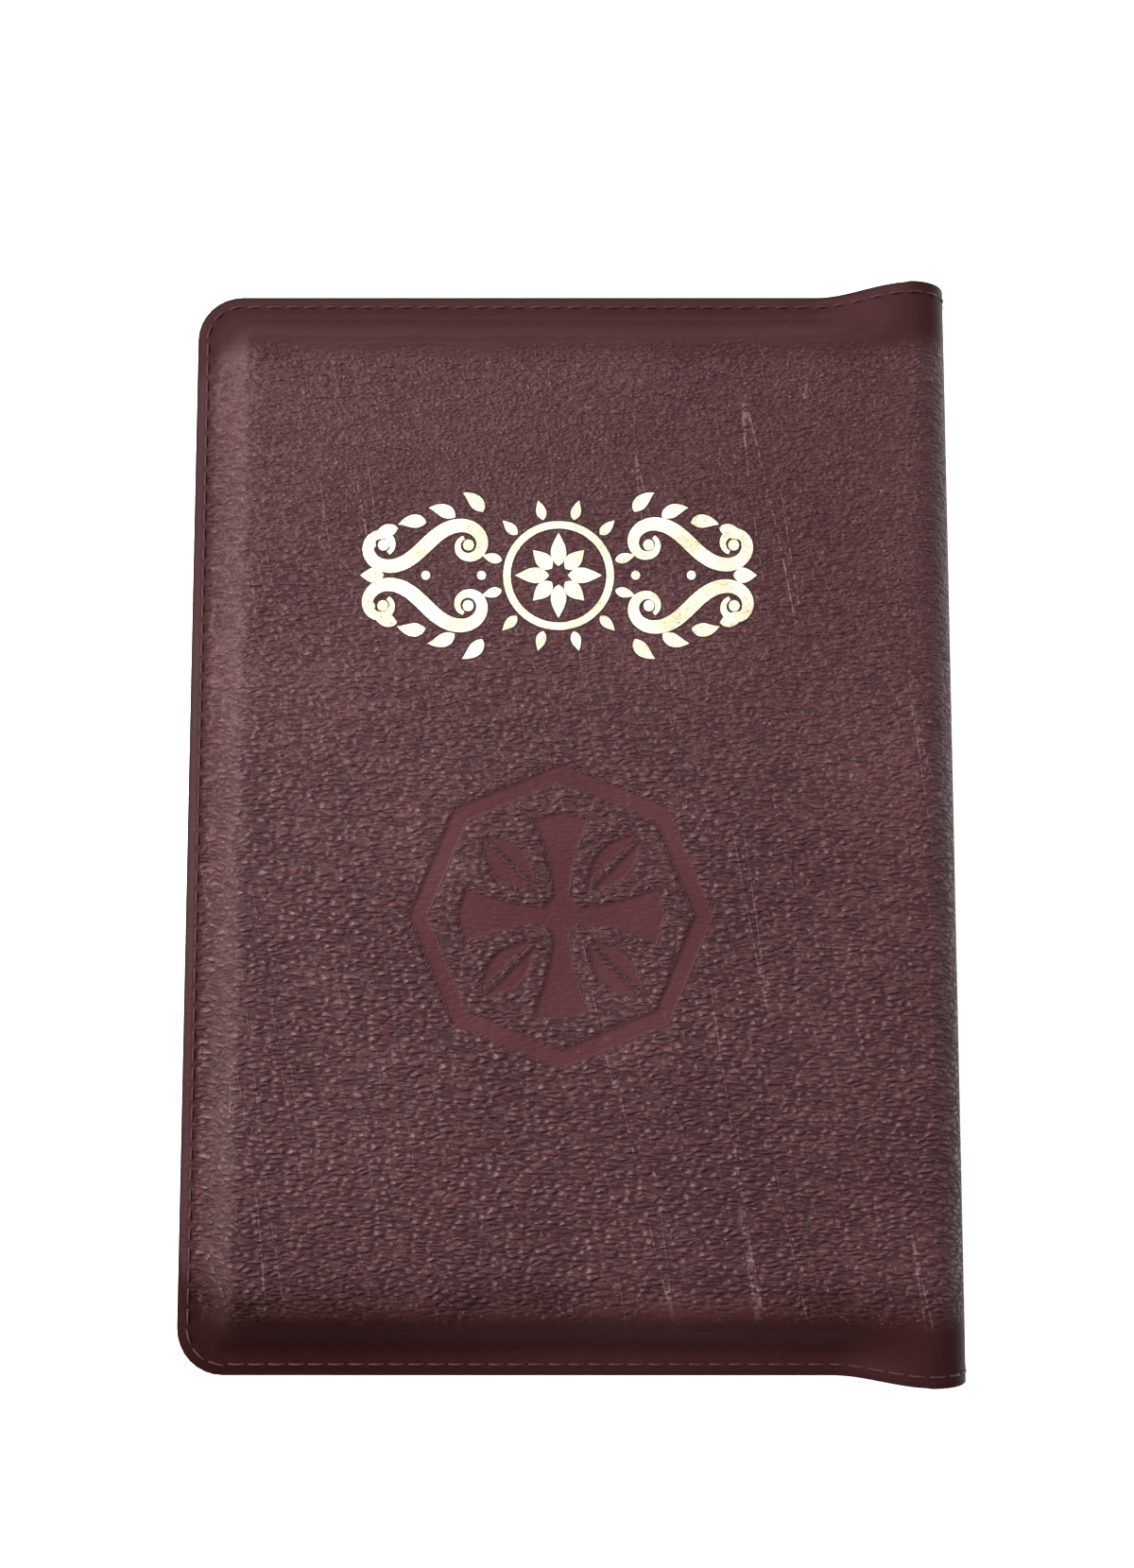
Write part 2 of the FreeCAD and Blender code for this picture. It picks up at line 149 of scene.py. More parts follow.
sharp_edge = math.radians(50)


def ease(t):
    t = np.clip(t, 0.0, 1.0)
    return t * t * (3 - 2 * t)


def lip_lift(x):
    """0 along the cover, 1 where the sheet reaches the shoulder."""
    return ease((x - flare_start) / (shoulder_x - flare_start))


def cover_edge(x, inset=0.0):
    """Half length of the cover at x, with round fore-edge corners."""
    run, radius = x - fore_x - inset, corner - inset
    round_off = radius - np.sqrt(np.maximum(0, radius ** 2 - (radius - run) ** 2))
    bite = np.where(run < radius, round_off, 0.0)
    return half_length - inset + flare * lip_lift(x) - bite


def waver(x, y, scale, seed):
    """Slow uneven swell, from -1 to 1, the same on every run."""
    return np.array([noise.noise(Vector((a / scale + seed, b / scale, seed))) for a, b in zip(x, y)])


def cover_height(x, y):
    """Outer face of the leather above the middle of the book's thickness."""
    inset = cover_edge(x) - np.abs(y)
    fore = ease((x - fore_x - lip_width) / slope_run)
    end = ease((inset - lip_width) / slope_run)
    end = end + (1 - end) * lip_lift(x)
    return lip_z + (panel_z - lip_z) * fore * end


def slump(x, y):
    """Depth of the soft hollows, rolled edge and ripples of worn leather."""
    inset = np.minimum(cover_edge(np.minimum(x, shoulder_x)) - np.abs(y), x - fore_x)
    calm = ease(inset / 0.004) * ease((spine_x - x) / 0.010)
    depth = 0.00022 * calm * (0.5 + 0.5 * waver(x, y, 0.03, 3.1))
    depth += 0.0005 * ease(1 - inset / 0.0022) * (shoulder_x > x)
    slack = ease(1 - np.abs(inset - 0.0085) / 0.006) * ease((shoulder_x - 0.02 - x) / 0.02)
    return depth + 0.0006 * slack * (0.5 + 0.5 * waver(x * 0.6, y, 0.014, 8.4))


def eight_sided(x, y, radius):
    """Distance inside an eight-sided border with a corner on each axis."""
    turn = np.arctan2(y, x)
    facet = np.mod(turn, math.pi / 4) - math.pi / 8
    return radius * math.cos(math.pi / 8) - np.hypot(x, y) * np.cos(facet)


def pressed(x, y):
    """How far the blind-pressed medallion is sunk, from 0 to 1."""
    x, y = x - medallion_centre[0], y - medallion_centre[1]
    edge = eight_sided(x, y, medallion_radius)
    border = ease(edge / crease) * ease((medallion_border - edge) / crease)
    reach = np.hypot(x, y)
    turn = np.arctan2(y, x)
    arm = np.mod(turn + math.pi / 4, math.pi / 2) - math.pi / 4
    along, across = reach * np.cos(arm), np.abs(reach * np.sin(arm))
    arm_width = 0.0018 + 0.0050 * np.clip(along / 0.021, 0, 1) ** 2.0
    tip = 0.0205 - 0.25 * across
    cross = ease((arm_width - across) / crease) * ease((tip - along) / crease)
    spread = np.mod(turn, math.pi / 2) - math.pi / 4
    out, aside = reach * np.cos(spread), np.abs(reach * np.sin(spread))
    leaf = 0.0040 * np.sin(np.clip((out - 0.0068) / 0.0155, 0, 1) * math.pi) ** 0.8
    leaves = ease((leaf - aside) / crease)
    vein = ease((0.0007 - aside) / 0.0004) * 0.8
    heart = ease((0.0042 - reach) / 0.0006) * (1 - 0.8 * ease((0.0026 - reach) / crease))
    return np.maximum.reduce([border, cross, leaves * (1 - vein), heart])


def cover_grid(fine):
    """Columns of x, rows as shares of the middle length, and insets from the ends."""
    mx, my, mr = medallion_centre[0], medallion_centre[1], medallion_radius + 0.001
    step = 0.0004 if fine else 0.0016
    ring = fore_x + corner * (1 - np.cos(np.linspace(0, math.pi / 2, 9)))
    columns = np.concatenate([ring, np.arange(ring[-1] + grid_step, mx - mr, grid_step),
                              np.arange(mx - mr, mx + mr, step),
                              np.arange(mx + mr, shoulder_x - 0.0006, grid_step), [shoulder_x]])
    reach = half_length - dish - end_margin
    rows = np.concatenate([np.arange(-reach, my - mr, row_step), np.arange(my - mr, my + mr, step),
                           np.arange(my + mr, reach, row_step), [reach]]) / reach
    insets = np.concatenate([[0, 0.0005, 0.0012], np.linspace(0.0021, dish + 0.001, 13)])
    return columns, rows, insets


def cover_sheet(fine):
    """Outer face of the leather as a grid of points, fore-edge to hinge line."""
    columns, rows, insets = cover_grid(fine)
    grid = []
    for x in columns:
        edge = cover_edge(x)
        side = edge - insets
        middle = rows * (edge - dish - end_margin)
        y = np.concatenate([-side, middle, side[::-1]])
        grid.append(np.stack([np.full_like(y, x), y, cover_height(np.full_like(y, x), y)], 1))
    rolled = grid[-1][:, 1]
    for angle in np.linspace(0, math.pi / 2, 13)[1:]:
        x = np.full_like(rolled, shoulder_x + shoulder * math.sin(angle))
        grid.append(np.stack([x, rolled, np.full_like(rolled, hinge_z + shoulder * math.cos(angle))], 1))
    points = np.array(grid)
    shape = points.shape
    flat = points.reshape(-1, 3)
    x, y = flat[:, 0], flat[:, 1]
    flat[:, 2] -= slump(x, y)
    if fine:
        flat[:, 2] -= press_depth * pressed(x, y)
    return flat.reshape(shape)


def closed_shell(name, outer):
    """Leather of even thickness under a grid of outer points, with its edges closed."""
    along = np.gradient(outer, axis=0)
    across = np.gradient(outer, axis=1)
    normal = np.cross(along, across)
    normal /= np.linalg.norm(normal, axis=2, keepdims=True) + 1e-12
    inner = outer - skin * normal
    inner[0, :, 0] = outer[0, :, 0]
    inner[:, 0, 1], inner[:, -1, 1] = outer[:, 0, 1], outer[:, -1, 1]
    inner[-1, :, 2] = outer[-1, :, 2]
    nu, nv = outer.shape[:2]
    index = np.arange(nu * nv).reshape(nu, nv)
    quads = np.stack([index[:-1, :-1], index[1:, :-1], index[1:, 1:], index[:-1, 1:]], -1)
    quads = quads.reshape(-1, 4)
    under = quads[:, ::-1] + nu * nv
    rim = np.concatenate([index[0, :], index[1:, -1], index[-1, -2::-1], index[-2:0:-1, 0]])
    after = np.roll(rim, -1)
    walls = np.stack([rim, after, after + nu * nv, rim + nu * nv], -1)
    mesh = bpy.data.meshes.new(name)
    mesh.from_pydata(np.concatenate([outer.reshape(-1, 3), inner.reshape(-1, 3)]).tolist(), [],
                     np.concatenate([quads, under, walls]).tolist())
    mesh.polygons.foreach_set("use_smooth", [True] * len(mesh.polygons))
    mesh.set_sharp_from_angle(angle=sharp_edge)
    return in_scene(name, mesh)


def mark_leather(piece):
    """Per-point grain, darkening along the cut edge, painted shade on the slopes, ends and lip mixed with the
    real darkening of the press, and painted shade on the rim of the pressed mark, for the leather's finish.
    """
    mesh = piece.data
    co = np.empty(len(mesh.vertices) * 3)
    mesh.vertices.foreach_get("co", co)
    x, y, z = co.reshape(-1, 3).T
    inset = np.minimum(cover_edge(np.minimum(x, shoulder_x)) - np.abs(y), x - fore_x)
    end_inset = cover_edge(np.minimum(x, shoulder_x)) - np.abs(y)
    ragged = 0.0025 * waver(x, y, 0.011, 2.2)
    grain = ease((end_inset - dish * 0.80 + ragged) / 0.0065) * ease((x - fore_x - 0.0015) / 0.0035)
    sunk = pressed(x, y) * (z > middle_z + 0.01)
    grain = 0.07 + 0.93 * grain * (1 - 0.90 * sunk)
    # Darker band along the outer 1.2 mm of the lip.
    darker_near_cut_edge = ease(1 - inset / 0.0012)
    coarse = 0.34 + 0.52 * ease((0.075 - y) / 0.11) + 0.18 * waver(x, y, 0.030, 12.6)
    coarse += 0.25 * ease(1 - (x - fore_x) / 0.03)
    coarse = np.clip(coarse, 0, 1)
    spread = np.where(y < 0, 0.010, 0.005)
    slope = ease((dish + spread + ragged - end_inset) / (spread + 0.003))
    # Painted shade: this mask darkens the head and tail slopes, the lower left, the upper panel and the
    # fore-edge lip for how light falls on them; only the share from the pressed medallion is real burnish.
    burnish = slope * np.where(y < 0, 0.82, 0.70)
    burnish += 0.25 * ease(1 - (x - fore_x) / 0.09) * ease((-0.06 - y) / 0.03)
    burnish += 0.30 * ease((y + 0.005) / 0.07) * (1 - slope)
    burnish = np.maximum(burnish, 0.55 * ease((0.0042 - (x - fore_x)) / 0.002))
    burnish = np.clip(burnish + 0.12 * sunk, 0, 1)
    # The press rim layer below is painted shade on the walls of the pressed mark.
    for label, values in (("grain", grain), ("coarse", coarse), ("edge", darker_near_cut_edge), ("burnish", burnish),
                          ("press_rim", 4 * sunk * (1 - sunk))):
        layer = mesh.attributes.new(label, "FLOAT", "POINT")
        layer.data.foreach_set("value", values.astype(np.float32))


front_skin = closed_shell("front_skin", cover_sheet(True))
back_points = cover_sheet(False)[:, ::-1].copy()
back_points[..., 2] = panel_z - back_points[..., 2]
back_skin = closed_shell("back_skin", back_points)


def new_finish(name):
    """A plain material, given as short ways to add its shader nodes and wire them up."""
    finish = bpy.data.materials.new(name)
    finish.use_nodes = True
    tree = finish.node_tree

    def feed(node, inputs):
        for key, value in inputs.items():
            socket = node.inputs[int(key[1:]) if key[1:].isdigit() else key.replace("_", " ")]
            if isinstance(value, bpy.types.NodeSocket):
                tree.links.new(value, socket)
            else:
                socket.default_value = value

    def add(kind, settings=None, **inputs):
        made = tree.nodes.new("ShaderNode" + kind)
        for key, value in (settings or {}).items():
            setattr(made, key, value)
        feed(made, inputs)
        return made

    def math_of(operation, a, b=0.0, c=0.0):
        return add("Math", {"operation": operation}, i0=a, i1=b, i2=c).outputs[0]

    def ramp_of(value, low, high, to_low=0.0, to_high=1.0):
        return add("MapRange", {"interpolation_type": "SMOOTHSTEP"},
                   i0=value, i1=low, i2=high, i3=to_low, i4=to_high).outputs[0]

    def tint(factor, a, b):
        return add("Mix", {"data_type": "RGBA"}, i0=factor, i6=a, i7=b).outputs[2]

    def bump_of(strength, distance, height):
        return add("Bump", Strength=strength, Distance=distance, Height=height).outputs[0]

    def shade(**inputs):
        feed(tree.nodes["Principled BSDF"], inputs)
        return finish
    return add, math_of, ramp_of, tint, bump_of, shade


def burgundy_leather(name):
    """Satin leather: rounded pebbles drawn out across the cover, and faint long strands."""
    add, math_of, ramp_of, tint, bump_of, shade = new_finish(name)
    place = add("TexCoord").outputs["Object"]
    grain, edge, coarse, burnish, rim = (add("Attribute", {"attribute_name": label}).outputs["Fac"]
                                         for label in ("grain", "edge", "coarse", "burnish", "press_rim"))
    drift = add("TexNoise", Vector=place, Scale=240.0, Detail=1.5, Roughness=0.5).outputs["Color"]
    drift = add("VectorMath", {"operation": "SUBTRACT"}, i0=drift, i1=(0.5, 0.5, 0.5)).outputs[0]
    drift = add("VectorMath", {"operation": "SCALE"}, i0=drift, Scale=0.0012).outputs[0]
    warped = add("VectorMath", {"operation": "ADD"}, i0=place, i1=drift).outputs[0]

    def drawn_out(source, across, along, turn):
        return add("Mapping", {"vector_type": "TEXTURE"}, Vector=source,
                   Scale=(across, along, 1.0), Rotation=(0, 0, turn)).outputs[0]

    def pebbles(scale, flat, soft):
        wide = drawn_out(warped, 1.0, 1.0 / flat, -0.12)
        cells = add("TexVoronoi", {"feature": "DISTANCE_TO_EDGE"}, Vector=wide, Scale=scale, Randomness=1.0)
        return ramp_of(cells.outputs["Distance"], 0.0, soft)

    ridge = add("TexNoise", Vector=drawn_out(warped, 1.0, 0.30, -0.13),
                Scale=330.0, Detail=1.0, Roughness=0.5).outputs[0]
    ridge = ramp_of(ridge, 0.38, 0.58)
    large, small = pebbles(390.0, 2.5, 0.42), pebbles(820.0, 1.9, 0.42)
    strand = add("TexNoise", Vector=drawn_out(place, 1.0, 55.0, 0.16), Scale=150.0, Detail=0.0).outputs[0]
    strand = ramp_of(math_of("ABSOLUTE", math_of("SUBTRACT", strand, 0.5)), 0.0, 0.008, 1.0, 0.0)
    strand_zone = ramp_of(add("TexNoise", Vector=place, Scale=24.0, Detail=1.0).outputs[0], 0.40, 0.56)
    dashes = ramp_of(add("TexNoise", Vector=place, Scale=900.0, Detail=1.0).outputs[0], 0.44, 0.54)
    strand = math_of("MULTIPLY", strand, math_of("MULTIPLY", strand_zone, dashes))
    glint_fleck = add("TexNoise", Vector=warped, Scale=1250.0, Detail=2.0, Roughness=0.7).outputs[0]
    glint_fleck = ramp_of(glint_fleck, 0.60, 0.74)
    deep_part = math_of("ADD", math_of("MULTIPLY", ridge, 0.22), math_of("MULTIPLY", large, 0.78))
    fine_part = math_of("ADD", math_of("MULTIPLY", small, 0.36), math_of("MULTIPLY", ridge, 0.18))
    fine_part = math_of("ADD", fine_part, 0.40)
    surface = add("Mix", i0=coarse, i2=fine_part, i3=deep_part).outputs[0]
    valley = math_of("MULTIPLY", math_of("SUBTRACT", 1.0, surface), grain)
    relief = math_of("SUBTRACT", 1.0, valley)
    relief = math_of("ADD", relief, math_of("MULTIPLY", strand, math_of("MULTIPLY", grain, 0.22)))
    relief = math_of("ADD", relief, math_of("MULTIPLY", glint_fleck, math_of("MULTIPLY", grain, 0.06)))
    pores = add("TexNoise", Vector=place, Scale=5200.0, Detail=2.0).outputs[0]
    height = math_of("ADD", relief, math_of("MULTIPLY", pores, 0.04))
    cloud = add("TexNoise", Vector=place, Scale=34.0, Detail=3.0).outputs[0]
    body = tint(ramp_of(cloud, 0.3, 0.7), (0.0480, 0.0145, 0.0172, 1), (0.0600, 0.0202, 0.0236, 1))
    # Painted shade: darkens the slopes, ends, lower left, upper panel and lip, with real burnish only in the
    # pressed medallion.
    body = tint(burnish, body, (0.0145, 0.0040, 0.0039, 1))
    # Painted highlight: light flecks on the grain stand in for glints on the pebbles' lit sides.
    body = tint(math_of("MULTIPLY", glint_fleck, math_of("MULTIPLY", grain, 0.35)), body, (0.230, 0.140, 0.148, 1))
    body = tint(math_of("MULTIPLY", strand, math_of("MULTIPLY", grain, 0.36)), body, (0.240, 0.145, 0.152, 1))
    # Painted shade: the hollows between the pebbles are darkened where shade falls.
    body = tint(ramp_of(valley, 0.50, 0.92, 0.0, 0.66), body, (0.0075, 0.0010, 0.0012, 1))
    # Painted shade: a dark line along the walls of the pressed medallion, where shade falls.
    body = tint(math_of("MULTIPLY", rim, 0.60), body, (0.0110, 0.0020, 0.0022, 1))
    # Darkens the outer rim of the lip.
    body = tint(math_of("MULTIPLY", edge, 0.75), body, (0.014, 0.005, 0.005, 1))
    rough = math_of("ADD", ramp_of(valley, 0.3, 0.9, 0.40, 0.70), math_of("MULTIPLY", cloud, 0.06))
    shine = math_of("MULTIPLY", math_of("ADD", math_of("MULTIPLY", grain, 0.15), 0.07),
                    math_of("SUBTRACT", 1.0, math_of("MULTIPLY", burnish, 0.85)))
    return shade(Base_Color=body, Roughness=rough, Specular_IOR_Level=shine,
                 Normal=bump_of(1.0, 0.00060, height))


cover_finish = burgundy_leather("burgundy_leather")
for piece, side in ((front_skin, "front"), (back_skin, "back")):
    mark_leather(piece)
    piece.data.materials.append(cover_finish)
    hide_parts(side + "_leather")
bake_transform(front_skin)
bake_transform(back_skin)


# ---------------------------------------------------------------- Spine leather
# The strip of the same skin that covers the back of the sewn sections. It is
# glued to the stiffener and runs past it to the flared head and tail caps.
spine_half = half_length + flare
spine_sink = 0.00018


def spine_hollow(y, z, level):
    """How far the strip sinks between its two long edges."""
    return spine_sink * (0.5 + 0.5 * waver(y, z, 0.02, 5.7)) * np.sin(math.pi * level)


spine_rows = np.linspace(-spine_half, spine_half, 240)
spine_levels = np.linspace(0, 1, 25)
spine_grid = []
for level in spine_levels:
    z = np.full_like(spine_rows, hinge_z + (panel_z - 2 * hinge_z) * level)
    pinch = ease(1 - (spine_half - np.abs(spine_rows)) / 0.004) * math.sin(math.pi * level) * 0.0006
    hollow = spine_hollow(spine_rows, z, level)
    spine_grid.append(np.stack([spine_x - pinch - hollow, spine_rows, z], 1))
spine_skin = closed_shell("spine_skin", np.array(spine_grid))
mark_leather(spine_skin)
spine_skin.data.materials.append(cover_finish)
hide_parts("spine_leather")
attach(spine_skin, "block")


# ---------------------------------------------------------------- Stitching
# One run of dark red waxed thread holds the lip of each cover to its zip tape
# and carries on over the shoulder and across the ends of the spine.
stitch_inset = 0.0022
stitch_pitch = 0.0038
stitch_length = 0.0029
thread_radius = 0.00026
thread_sizes = {"Pitch": stitch_pitch, "Length": stitch_length, "Thread radius": thread_radius}


def stitch_line(side):
    """Points on the leather from the middle of the fore-edge to the hinge line."""
    start, bend = fore_x + stitch_inset, corner - stitch_inset
    turn = np.linspace(0, math.pi / 2, 14)
    straight = np.linspace(0, half_length - corner, 90)
    xs = np.concatenate([np.full_like(straight, start), start + bend * (1 - np.cos(turn[1:])),
                         np.linspace(start + bend, shoulder_x, 160)[1:]])
    ys = np.concatenate([straight, half_length - corner + bend * np.sin(turn[1:])])
    run = xs[len(ys):]
    ys = np.concatenate([ys, cover_edge(run) - stitch_inset])
    zs = cover_height(xs, ys) - slump(xs, ys)
    roll = np.linspace(0, math.pi / 2, 20)[1:]
    xs = np.concatenate([xs, shoulder_x + shoulder * np.sin(roll)])
    ys = np.concatenate([ys, np.full_like(roll, ys[-1])])
    zs = np.concatenate([zs, hinge_z + shoulder * np.cos(roll)])
    return np.stack([xs, side * ys, zs], 1)


def run_of_copies(name, made, sizes, finish, one_copy):
    """Node tree that lays one small part, turned to the line, at every pitch of a line."""
    tree = bpy.data.node_groups.new(name, "GeometryNodeTree")
    tree.interface.new_socket("Line", in_out="INPUT", socket_type="NodeSocketGeometry")
    for label, value in sizes.items():
        tree.interface.new_socket(label, in_out="INPUT", socket_type="NodeSocketFloat").default_value = value
    tree.interface.new_socket(made, in_out="OUTPUT", socket_type="NodeSocketGeometry")
    add, link = tree.nodes.new, tree.links.new
    given, result = add("NodeGroupInput"), add("NodeGroupOutput")
    line, spaced, copies, real, smooth_faces, paint = (
        add("GeometryNode" + kind) for kind in ("MeshToCurve", "ResampleCurve", "InstanceOnPoints",
                                                "RealizeInstances", "SetShadeSmooth", "SetMaterial"))
    spaced.mode = "LENGTH"
    paint.inputs["Material"].default_value = finish
    shape, turned = one_copy(add, link, given)
    link(given.outputs["Line"], line.inputs["Mesh"])
    link(line.outputs["Curve"], spaced.inputs["Curve"])
    link(given.outputs["Pitch"], spaced.inputs["Length"])
    link(spaced.outputs["Curve"], copies.inputs["Points"])
    link(shape, copies.inputs["Instance"])
    link(turned, copies.inputs["Rotation"])
    for before, after in ((copies, real), (real, smooth_faces), (smooth_faces, paint), (paint, result)):
        link(before.outputs[0], after.inputs[0])
    return tree


def bowed_stitch(add, link, given):
    """One short stitch: its ends dip into the leather and its middle stands up."""
    bow = add("GeometryNodeCurveQuadraticBezier")
    bow.inputs["Resolution"].default_value = 6
    halves = [add("ShaderNodeMath") for _ in range(2)]
    dip, rise = add("ShaderNodeMath"), add("ShaderNodeMath")
    for part, share in zip((*halves, dip, rise), (-0.5, 0.5, -0.9, 1.5)):
        part.operation, part.inputs[1].default_value = "MULTIPLY", share
    ends = [add("ShaderNodeCombineXYZ") for _ in range(3)]
    ring = add("GeometryNodeCurvePrimitiveCircle")
    ring.inputs["Resolution"].default_value = 6
    tube = add("GeometryNodeCurveToMesh")
    tube.inputs["Fill Caps"].default_value = True
    tangent = add("GeometryNodeInputTangent")
    level, pitch_up = [add("FunctionNodeAlignRotationToVector") for _ in range(2)]
    level.axis = pitch_up.axis = "X"
    level.pivot_axis, pitch_up.pivot_axis = "Z", "Y"
    for half, end in zip(halves, (ends[0], ends[2])):
        link(given.outputs["Length"], half.inputs[0])
        link(half.outputs[0], end.inputs["X"])
    for source, target in ((dip, ends[0]), (dip, ends[2]), (rise, ends[1])):
        link(given.outputs["Thread radius"], source.inputs[0])
        link(source.outputs[0], target.inputs["Z"])
    for end, name in zip(ends, ("Start", "Middle", "End")):
        link(end.outputs[0], bow.inputs[name])
    link(given.outputs["Thread radius"], ring.inputs["Radius"])
    link(bow.outputs["Curve"], tube.inputs["Curve"])
    link(ring.outputs["Curve"], tube.inputs["Profile Curve"])
    link(tangent.outputs[0], level.inputs["Vector"])
    link(level.outputs[0], pitch_up.inputs["Rotation"])
    link(tangent.outputs[0], pitch_up.inputs["Vector"])
    return tube.outputs["Mesh"], pitch_up.outputs[0]


def grow_along(name, lines, tree, **sizes):
    """Plain mesh of what a node tree lays along some lines of points."""
    points, edges = [], []
    for line in lines:
        edges += [(len(points) + i, len(points) + i + 1) for i in range(len(line) - 1)]
        points += [tuple(map(float, p)) for p in line]
    guide_mesh = bpy.data.meshes.new(name + "_line")
    guide_mesh.from_pydata(points, edges, [])
    guide = in_scene(name + "_line", guide_mesh)
    grower = guide.modifiers.new("grow", "NODES")
    grower.node_group = tree
    for item in tree.interface.items_tree:
        if item.item_type == "SOCKET" and item.in_out == "INPUT" and item.name in sizes:
            grower[item.identifier] = sizes[item.name]
    depsgraph = bpy.context.evaluated_depsgraph_get()
    grown = bpy.data.meshes.new_from_object(guide.evaluated_get(depsgraph))
    guide.modifiers.remove(grower)
    bpy.data.objects.remove(guide)
    return in_scene(name, grown)


def waxed_thread(name, dark, light):
    """Two-ply thread: fine slanting twist, slightly glossy with wax."""
    add, math_of, ramp_of, tint, bump_of, shade = new_finish(name)
    place = add("TexCoord").outputs["Object"]
    turned = add("Mapping", Vector=place, Rotation=(0.5, 0.4, 0.78)).outputs[0]
    twist = add("TexWave", {"bands_direction": "X"}, Vector=turned,
                Scale=2400.0, Distortion=1.5).outputs["Fac"]
    fuzz = add("TexNoise", Vector=place, Scale=2600.0, Detail=2.0).outputs[0]
    colour = tint(math_of("MULTIPLY", twist, ramp_of(fuzz, 0.3, 0.7)), dark, light)
    return shade(Base_Color=colour, Roughness=0.5, Specular_IOR_Level=0.3,
                 Normal=bump_of(0.5, 0.00008, twist))


red_thread = waxed_thread("red_waxed_thread", (0.016, 0.002, 0.003, 1), (0.070, 0.010, 0.014, 1))
stitch_run = run_of_copies("stitch_run", "Thread", thread_sizes, red_thread, bowed_stitch)
front_stitches = grow_along("front_stitches", [stitch_line(1), stitch_line(-1)], stitch_run, **thread_sizes)
back_stitches = in_scene("back_stitches", front_stitches.data.copy())
for vertex in back_stitches.data.vertices:
    vertex.co.z = panel_z - vertex.co.z
back_stitches.data.flip_normals()
wall = np.linspace(hinge_z - 0.002, panel_z - hinge_z + 0.002, 30)
wall_x, wall_y = np.full_like(wall, spine_x - 0.0001), np.full_like(wall, spine_half - stitch_inset)
spine_run = [np.stack([wall_x, side * wall_y, wall], 1) for side in (1, -1)]
spine_stitches = grow_along("spine_stitches", spine_run, stitch_run, **thread_sizes)
for piece, node, body in ((front_stitches, "front_stitching", "front_cover"),
                          (back_stitches, "back_stitching", "back_cover"),
                          (spine_stitches, "spine_stitching", "block")):
    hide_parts(node)
    if body == "block":
        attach(piece, body)
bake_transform(front_stitches)
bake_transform(back_stitches)


# ---------------------------------------------------------------- Gold stamping
# Pale gold foil pressed hot into the leather with an engraved block: scrollwork
# and leaves on the front cover, and rules with small lozenges on the spine. A
# thin dark strip round the front strokes is painted shadow, and the foil breaks
# over the grain.
stamp_x, stamp_y = [(low + high) / 2 for low, high in list(zip(*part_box("front_gold_ornament")))[:2]]
foil_rise, foil_thickness, foil_overlap = 0.00005, 0.00012, 0.0000004
# Width and depth of the painted shadow strip round the front strokes.
stamp_shadow_spread, stamp_shadow_below_foil = 0.00028, 0.00003
curl_reach = 2.05


def stroke(path, width):
    """Closed ribbon as left and right edge points along a curved path."""
    path, width = np.asarray(path, float), np.asarray(width, float)
    lead = np.gradient(path, axis=0)
    lead /= np.linalg.norm(lead, axis=1, keepdims=True) + 1e-12
    aside = np.stack([-lead[:, 1], lead[:, 0]], 1) * width[:, None] / 2
    return path + aside, path - aside


def s_scroll(centre, scale, tilt, hand, widest):
    """Double curl, straight in the middle and tightening toward both eyes."""
    run = np.linspace(-curl_reach, curl_reach, 110)
    heading = tilt + hand * math.pi / 2 * run ** 2
    steps = np.stack([np.cos(heading), np.sin(heading)], 1)
    path = np.cumsum(steps, axis=0) * (run[1] - run[0]) * scale
    path += np.asarray(centre) - path[54:56].mean(axis=0)
    return stroke(path, 0.0008 + widest * np.clip(1 - np.abs(run / curl_reach) ** 2.2, 0, 1))


def bead(centre, radius):
    """Round dot."""
    t = np.linspace(-1, 1, 13)
    path = np.stack([centre[0] + radius * t, np.full(13, centre[1])], 1)
    return stroke(path, 2 * radius * np.sqrt(np.maximum(1 - t ** 2, 0)) + 0.00002)


def leaf_stroke(base, heading, length, widest, curl=0.5):
    """Pointed leaf bending to one side."""
    t = np.linspace(0, 1, 16)
    angle = heading + curl * t
    steps = np.stack([np.cos(angle), np.sin(angle)], 1) * length / 15
    path = np.asarray(base) + np.cumsum(steps, axis=0) - steps[0]
    return stroke(path, 0.0001 + widest * np.sin(np.pi * t ** 0.75))


def front_scrollwork():
    """A rosette in a ring of small leaves, with a pair of leafy scrolls on each side."""
    strokes = []
    for k in range(8):
        angle = k * math.pi / 4
        base = (0.0019 * math.cos(angle), 0.0019 * math.sin(angle))
        strokes.append(leaf_stroke(base, angle, 0.0066 if k % 2 == 0 else 0.0052, 0.0030, 0.0))
    ring = np.linspace(0, 2 * math.pi, 49)
    strokes.append(stroke(0.0102 * np.stack([np.cos(ring), np.sin(ring)], 1), np.full(49, 0.0015)))
    for k in range(12):
        angle = (k + 0.5) * math.pi / 6
        base = (0.0116 * math.cos(angle), 0.0116 * math.sin(angle))
        strokes.append(leaf_stroke(base, angle, 0.0040, 0.0019, 0.0))
    for side in (1, -1):
        for over in (1, -1):
            hand = side * over
            centre = (side * 0.0262, over * 0.0061)
            strokes.append(s_scroll(centre, 0.0119, -hand * math.pi / 4, hand, 0.0021))
            for eye in (-1, 1):
                strokes.append(bead((centre[0] + eye * 0.0084, centre[1]), 0.0011))
        for k, x in enumerate((0.0150, 0.0205, 0.0262, 0.0318)):
            for over in (1, -1):
                turn = over * (1.15 - 0.42 * k)
                heading = turn if side > 0 else math.pi - turn
                base = (side * x, over * (0.0128 - 0.0011 * k))
                strokes.append(leaf_stroke(base, heading, 0.0056, 0.0026, -side * over * 0.7))
        strokes.append(leaf_stroke((side * 0.0345, 0.0), 0 if side > 0 else math.pi, 0.0046, 0.0030, 0.0))
        for x, y in ((0.0262, 0.0), (0.0152, 0.0), (0.0370, 0.0062), (0.0370, -0.0062)):
            strokes.append(bead((side * x, y), 0.0009))
    return strokes


